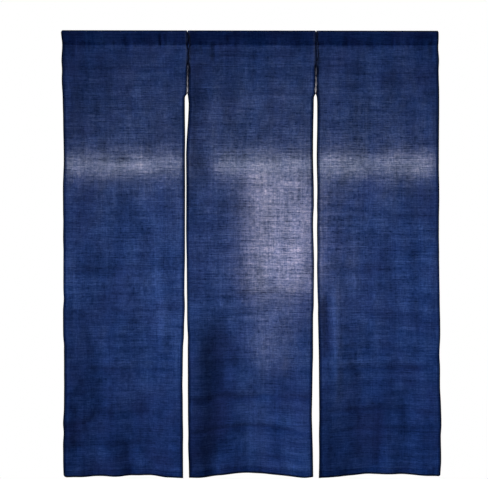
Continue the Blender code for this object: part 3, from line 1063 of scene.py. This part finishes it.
class NOREN_OT_panels(bpy.types.Operator):
    """Hangs the three panels of linen on the folds of their solids"""

    bl_idname = "noren.panels"
    bl_label = "Hang the panels"

    def execute(self, context):
        cloth = context.scene.noren_cloth
        below, behind = section(cloth)
        step = np.hypot(np.diff(below), np.diff(behind))
        run = np.concatenate([[0.0], np.cumsum(step)])
        for panel in PANELS:
            low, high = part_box(panel.node)
            width = high[0] - low[0]
            across = columns_across(cloth.columns, width)
            points = cloth_points(panel, cloth, across[None, :], below[:, None], behind[:, None])
            reach = points[:, -1, 0] - points[:, 0, 0]
            u = across[None, :] * reach[:, None] + panel.pattern_shift
            v = np.broadcast_to(run[:, None], u.shape)
            mesh = grid_mesh(panel.piece, points, np.stack([u, v], axis=-1))
            place = (panel, across[None, :], reach[:, None], below[:, None])
            from_fold = np.broadcast_to(np.minimum(below, DROP - below)[:, None], u.shape)
            # The attributes carry the distance from edges and folds, uneven dye with painted shade and
            # painted light, and the painted highlight beside the lacing.
            layers = {"from_edge": from_edge(*place), "from_fold": from_fold, "paler": dye(*place)}
            for name, values in (*layers.items(), ("worn", worn(*place))):
                layer = mesh.attributes.new(name, "FLOAT", "POINT")
                layer.data.foreach_set("value", values.astype(np.float32).ravel())
            piece = link_mesh(panel.piece, mesh, material("indigo_linen", lambda: linen(cloth)))
            solid = piece.modifiers.new("thickness", "SOLIDIFY")
            solid.thickness = cloth.thickness
            solid.offset = 0.0
            solid.use_even_offset = True
            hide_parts(panel.node)
        return {"FINISHED"}


class NOREN_OT_hem_stitches(bpy.types.Operator):
    """Sews each panel's rod pocket and hem with a line of running stitches, front and back"""

    bl_idname = "noren.hem_stitches"
    bl_label = "Sew the pockets and hems"

    def execute(self, context):
        cloth, sewing = context.scene.noren_cloth, context.scene.noren_thread
        pitch = cloth.thickness + cloth.lapped
        for panel in PANELS:
            for kind, at in (("pocket", POCKET - 0.001), ("hem", DROP - HEM + 0.002)):
                parts = []
                for side, layer in ((-1.0, 0.0), (1.0, pitch)):
                    starts, ends = self.ends(panel, cloth, sewing, at, layer)
                    outward = np.tile([0.0, side, 0.0], (len(starts), 1))
                    lift = outward * (cloth.thickness / 2 + 0.3 * sewing.radius)
                    parts.append(
                        stitches(starts + lift, ends + lift, outward, sewing.radius, 0.5 * sewing.radius)
                    )
                made, faces = joined(parts)
                name = f"{kind}_stitches_{panel.piece.split('_')[1]}"
                mesh = bpy.data.meshes.new(name)
                mesh.from_pydata(made.tolist(), [], faces)
                navy = material("navy_thread", lambda: thread("navy_thread", sewing.navy, sewing.navy))
                piece = link_mesh(name, mesh, navy)
        return {"FINISHED"}

    @staticmethod
    def ends(panel, cloth, sewing, at, layer):
        """Where each stitch starts and ends, on the middle of the cloth, between the side hems."""
        low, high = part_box(panel.node)
        width = high[0] - low[0]
        count = int((width - 2 * STITCHES_FROM_EDGE) / sewing.pitch)
        starts = STITCHES_FROM_EDGE / width + np.arange(count) * sewing.pitch / width
        draw = np.random.default_rng(3)
        starts = starts + draw.normal(0, 0.04, count) * sewing.pitch / width
        long = sewing.stitch * (1 + draw.normal(0, 0.07, count)) / width
        rows = np.full(count, at) + draw.normal(0, 0.00015, count)
        made = []
        for share in (starts, starts + long):
            made.append(cloth_points(panel, cloth, share, rows, np.full(count, layer)))
        return made


Seam = namedtuple("Seam", "name panel lacing sewing bars")
# Where a seam's two strands run: distance below the top edge, half the distance between them, their
# shift to the right of the seam, and how far the second lies over the first, from -1 to 1.
Lacing = namedtuple("Lacing", "below apart aside over")
# A bar of close turns round the seam: where it begins and ends, and half its width.
Bar = namedtuple("Bar", "thread begins ends half_width")
SEAMS = (
    Seam(
        "left",
        PANELS[0],
        (
            Lacing(0.002, 0.0010, -0.0034, 0),
            Lacing(0.010, 0.0000, -0.0006, 1),
            Lacing(0.019, -0.0008, 0.0026, 0),
            Lacing(0.030, 0.0000, 0.0004, -1),
            Lacing(0.047, 0.0054, 0.0004, 0),
            Lacing(0.058, 0.0036, 0.0006, 0),
            Lacing(0.069, 0.0000, 0.0022, 1),
            Lacing(0.080, -0.0012, 0.0006, 0),
            Lacing(0.092, 0.0000, 0.0022, -1),
            Lacing(0.104, 0.0016, 0.0010, 0),
            Lacing(0.116, 0.0044, 0.0006, 0),
            Lacing(0.139, 0.0042, 0.0006, 0),
            Lacing(0.152, 0.0002, 0.0002, 0),
        ),
        (
            Lacing(0.114, 0.0000, 0.0000, 0),
            Lacing(0.124, 0.0011, 0.0004, 0),
            Lacing(0.134, 0.0000, 0.0002, 1),
            Lacing(0.143, -0.0011, -0.0003, 0),
            Lacing(0.152, 0.0000, 0.0000, -1),
            Lacing(0.160, 0.0012, 0.0002, 0),
            Lacing(0.168, 0.0000, -0.0002, 1),
            Lacing(0.176, -0.0012, 0.0000, 0),
            Lacing(0.184, 0.0000, 0.0002, -1),
            Lacing(0.193, 0.0013, 0.0000, 0),
            Lacing(0.208, 0.0002, 0.0000, 1),
        ),
        (Bar("navy", 0.110, 0.118, 0.0022), Bar("pale", 0.195, 0.2085, 0.0024)),
    ),
    Seam(
        "right",
        PANELS[1],
        (
            Lacing(0.002, 0.0036, 0.0006, 0),
            Lacing(0.012, 0.0000, 0.0008, 1),
            Lacing(0.022, -0.0010, 0.0022, 0),
            Lacing(0.032, 0.0012, 0.0022, 0),
            Lacing(0.044, 0.0046, 0.0026, 0),
            Lacing(0.057, 0.0034, 0.0022, 0),
            Lacing(0.068, 0.0040, 0.0032, 0),
            Lacing(0.084, 0.0036, 0.0036, 0),
            Lacing(0.097, 0.0020, 0.0028, 1),
            Lacing(0.107, 0.0000, 0.0004, 1),
            Lacing(0.118, 0.0030, -0.0006, 0),
            Lacing(0.140, 0.0044, 0.0008, 0),
            Lacing(0.154, 0.0002, 0.0002, 0),
        ),
        (
            Lacing(0.124, 0.0000, 0.0009, 0),
            Lacing(0.136, 0.0013, 0.0006, 0),
            Lacing(0.147, 0.0000, 0.0005, 1),
            Lacing(0.158, -0.0016, 0.0007, 0),
            Lacing(0.168, 0.0000, 0.0013, -1),
            Lacing(0.178, 0.0017, 0.0014, 0),
            Lacing(0.187, 0.0000, 0.0010, 1),
            Lacing(0.197, -0.0018, 0.0004, 0),
            Lacing(0.208, 0.0002, 0.0002, -1),
        ),
        (Bar("navy", 0.116, 0.1235, 0.0026), Bar("pale", 0.194, 0.2085, 0.0026)),
    ),
)


class NOREN_OT_seams(bpy.types.Operator):
    """Laces the panels together at the top, sews them below that and ends each seam in a close bar"""

    bl_idname = "noren.seams"
    bl_label = "Sew the seams"

    def execute(self, context):
        cloth, sewing = context.scene.noren_cloth, context.scene.noren_thread
        colours = {"navy": sewing.navy, "pale": sewing.pale}
        for seam in SEAMS:
            runs = {"navy": (seam.lacing, sewing.lace), "pale": (seam.sewing, sewing.cord)}
            for kind, (rows, radius) in runs.items():
                parts = []
                for side in (-1.0, 1.0):
                    parts += self.strands(seam, rows, radius, side, cloth)
                for bar in seam.bars:
                    if bar.thread == kind:
                        parts.append(self.bar(seam, bar, cloth, sewing))
                made, faces = joined(parts)
                name = f"seam_{kind}_{seam.name}"
                mesh = bpy.data.meshes.new(name)
                mesh.from_pydata(made.tolist(), [], faces)
                finish = f"{kind}_thread"
                yarn = material(finish, lambda: thread(finish, colours[kind], sewing.bled))
                piece = link_mesh(name, mesh, yarn)
        return {"FINISHED"}

    @staticmethod
    def strands(seam, rows, radius, side, cloth):
        """Two twisted strands on one side of the cloth, along curves through the seam's rows."""
        places = column(rows, "below")
        below = np.linspace(places[0], places[-1], int((places[-1] - places[0]) / 0.0006))
        apart, aside, over = (smooth(below, places, column(rows, name)) for name in rows[0]._fields[1:])
        middle = cloth_points(seam.panel, cloth, np.ones(len(below)), below, np.zeros(len(below)))
        layers = outermost(cloth, below, side)
        face = layers - SEAM_TURN + side * (cloth.thickness / 2 + 0.5 * radius)
        thick = radius * (0.6 + 0.4 * ramp(below, places[0], places[-1]))
        made = []
        for way in (-1.0, 1.0):
            proud = face + side * 0.7 * radius * way * over
            path = middle + np.stack([aside + way * apart, proud, 0 * below], axis=1)
            made.append(sweep(path, thick[:, None], 12, (1.0, 0.0, 0.0), 3, PLY_LAY))
        return made

    @staticmethod
    def bar(seam, bar, cloth, sewing):
        """A helix of close turns round the seam, wide in X and flat in Y."""
        count = (bar.ends - bar.begins) / (BAR_PITCH * sewing.radius)
        t = np.linspace(0, 1, int(count * BAR_STEPS))
        turn = 2 * math.pi * count * t
        below = bar.begins + (bar.ends - bar.begins) * t
        middle = cloth_points(seam.panel, cloth, np.ones(len(t)), below, np.zeros(len(t)))
        wide = bar.half_width * (1 + 0.12 * np.sin(0.37 * turn))
        deep = cloth.thickness / 2 + sewing.radius + 0.0012
        path = middle + np.stack([wide * np.cos(turn), -0.0006 - deep * np.sin(turn), 0 * t], axis=1)
        return sweep(path, sewing.radius, 8, (0.0, 0.0, 1.0))


# Colours of the lights. Those behind are warm, because the cloth's dye turns what comes through blue.
DAYLIGHT = (1.0, 0.98, 0.96)
WHITE = (1.0, 1.0, 1.0)
WARM = (1.0, 0.46, 0.16)
ROSE = (0.90, 0.48, 0.175)
AMBER = (1.0, 0.42, 0.145)
SOFT = (1.0, 0.86, 0.70)

# A far light is aimed at the curtain's middle, by its angle as seen from there.
FarLight = namedtuple("FarLight", "name place angle power colour")
CURTAIN_MIDDLE = (0.0, 0.0, -0.7)

# Soft boxes behind the cloth, square to it: X, Y and Z of the middle, width and height, and watts
SoftBox = namedtuple("SoftBox", "name x y z wide high power colour")
SOFT_BOXES = (
    SoftBox("back_left", -0.43, 0.036, -0.452, 0.42, 0.045, 0.95, WARM),
    SoftBox("back_right", 0.25, 0.036, -0.452, 0.73, 0.045, 1.75, WARM),
    SoftBox("back_upper", 0.0, 0.26, -0.33, 1.30, 0.16, 2.4, ROSE),
    SoftBox("back_middle", 0.099, 0.048, -0.68, 0.22, 0.39, 4.0, AMBER),
    SoftBox("back_lower", 0.074, 0.060, -0.98, 0.10, 0.30, 0.36, WARM),
    SoftBox("back_low", 0.0, 0.30, -0.78, 1.30, 0.46, 2.0, SOFT),
)

FLOOR_SIDES = 96
FLOOR_DARK = (0.74, 0.73, 0.71, 1.0)
FLOOR_PALE = (0.80, 0.79, 0.77, 1.0)


class NOREN_OT_studio(bpy.types.Operator):
    """Sets the pale floor, the soft lights and the camera at the photograph's angle"""

    bl_idname = "noren.studio"
    bl_label = "Set the studio"

    def execute(self, context):
        studio = context.scene.noren_studio
        self.floor(studio)
        self.world(context.scene, studio)
        self.lights(studio)
        self.camera(context.scene, studio)
        context.scene.view_settings.view_transform = "Standard"
        return {"FINISHED"}

    @staticmethod
    def floor(studio):
        """A round floor, one flat face with FLOOR_SIDES sides."""
        turn = np.linspace(0, 2 * math.pi, FLOOR_SIDES, endpoint=False)
        r = studio.floor_radius
        level = np.full(FLOOR_SIDES, studio.floor)
        points = np.stack([r * np.cos(turn), r * np.sin(turn), level], axis=1)
        mesh = bpy.data.meshes.new("floor")
        mesh.from_pydata(points.tolist(), [], [list(range(FLOOR_SIDES))])
        n = Nodes("floor_paint")
        place = n.add("ShaderNodeTexCoord").outputs["Object"]
        grain = n.noise(place, (6.0, 6.0, 6.0), 4.0)
        n.link(n.between(grain, FLOOR_DARK, FLOOR_PALE), n.shader, "Base Color")
        n.shader.inputs["Roughness"].default_value = 0.8
        mesh.materials.append(n.material)
        floor = bpy.data.objects.new("floor", mesh)
        bpy.context.scene.collection.objects.link(floor)

    @staticmethod
    def world(scene, studio):
        """White to look at, softer as a light."""
        world = bpy.data.worlds.new("studio")
        world.use_nodes = True
        tree = world.node_tree
        tree.nodes.clear()
        seen = tree.nodes.new("ShaderNodeBackground")
        seen.inputs["Color"].default_value = (1.0, 1.0, 1.0, 1.0)
        light = tree.nodes.new("ShaderNodeBackground")
        light.inputs["Color"].default_value = (0.95, 0.97, 1.0, 1.0)
        light.inputs["Strength"].default_value = studio.fill
        ray = tree.nodes.new("ShaderNodeLightPath")
        mix = tree.nodes.new("ShaderNodeMixShader")
        output = tree.nodes.new("ShaderNodeOutputWorld")
        tree.links.new(ray.outputs["Is Camera Ray"], mix.inputs[0])
        tree.links.new(light.outputs[0], mix.inputs[1])
        tree.links.new(seen.outputs[0], mix.inputs[2])
        tree.links.new(mix.outputs[0], output.inputs["Surface"])
        scene.world = world

    @staticmethod
    def lights(studio):
        """A soft key light from the upper left, which rakes over the folds, and soft boxes behind that
        show how sheer the cloth is."""
        for far in (
            FarLight("key", (-2.6, -1.25, 0.9), 0.30, studio.key, DAYLIGHT),
            FarLight("back", (2.4, 1.2, -0.4), 0.30, studio.back, WHITE),
        ):
            data = bpy.data.lights.new(far.name, "SUN")
            data.angle = far.angle
            NOREN_OT_studio.set_light(data, far.place, CURTAIN_MIDDLE, far.power, far.colour)
        for box in SOFT_BOXES:
            data = bpy.data.lights.new(box.name, "AREA")
            data.shape = "RECTANGLE"
            data.size, data.size_y = box.wide, box.high
            place, aim = (box.x, box.y, box.z), (box.x, 0.0, box.z)
            NOREN_OT_studio.set_light(data, place, aim, box.power, box.colour)

    @staticmethod
    def set_light(data, place, aim, power, colour):
        """Puts a light in the scene, turned from its place towards its aim and unseen itself."""
        data.energy = power
        data.color = colour
        light = bpy.data.objects.new(data.name, data)
        light.location = place
        toward = np.array(aim) - np.array(place)
        from_up = math.acos(-toward[2] / np.linalg.norm(toward))
        light.rotation_euler = (from_up, 0.0, math.atan2(-toward[0], toward[1]))
        light.visible_camera = False
        bpy.context.scene.collection.objects.link(light)

    @staticmethod
    def camera(scene, studio):
        """A camera that faces the cloth squarely, at the height and place of the photograph's middle, with
        the lens that makes a pixel METRES_PER_PIXEL wide on the curtain."""
        data = bpy.data.cameras.new("camera")
        data.sensor_width = SENSOR_WIDTH_MM
        data.lens = studio.distance * SENSOR_WIDTH_MM / (METRES_PER_PIXEL * IMAGE_WIDTH)
        camera = bpy.data.objects.new("camera", data)
        x = (IMAGE_WIDTH / 2 - CURTAIN_MIDDLE_PX) * METRES_PER_PIXEL
        z = -(IMAGE_HEIGHT / 2 - CURTAIN_TOP_PX) * METRES_PER_PIXEL
        camera.location = (x, -studio.distance, z)
        camera.rotation_euler = (math.pi / 2, 0.0, 0.0)
        scene.collection.objects.link(camera)
        scene.camera = camera


class NOREN_PT_sidebar(bpy.types.Panel):
    """The curtain's steps and sizes in the sidebar"""

    bl_idname = "NOREN_PT_sidebar"
    bl_label = "Noren"
    bl_space_type = "VIEW_3D"
    bl_region_type = "UI"
    bl_category = "Noren"

    def draw(self, context):
        layout = self.layout
        for operator in OPERATORS:
            layout.operator(operator.bl_idname)
        for group in (context.scene.noren_cloth, context.scene.noren_thread, context.scene.noren_studio):
            box = layout.box()
            for name in group.__annotations__:
                box.prop(group, name)


OPERATORS = (NOREN_OT_panels, NOREN_OT_hem_stitches, NOREN_OT_seams, NOREN_OT_studio)
GROUPS = {"noren_cloth": ClothSettings, "noren_thread": ThreadSettings, "noren_studio": StudioSettings}


def register():
    for kind in (*GROUPS.values(), *OPERATORS, NOREN_PT_sidebar):
        bpy.utils.register_class(kind)
    for name, group in GROUPS.items():
        setattr(bpy.types.Scene, name, PointerProperty(type=group))


def unregister():
    for name in GROUPS:
        delattr(bpy.types.Scene, name)
    for kind in (NOREN_PT_sidebar, *OPERATORS[::-1], *GROUPS.values()):
        bpy.utils.unregister_class(kind)


def main():
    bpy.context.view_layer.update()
    register()
    bpy.ops.noren.panels()
    bpy.ops.noren.hem_stitches()
    bpy.ops.noren.seams()
    bpy.ops.noren.studio()


if __name__ == "__main__":
    main()
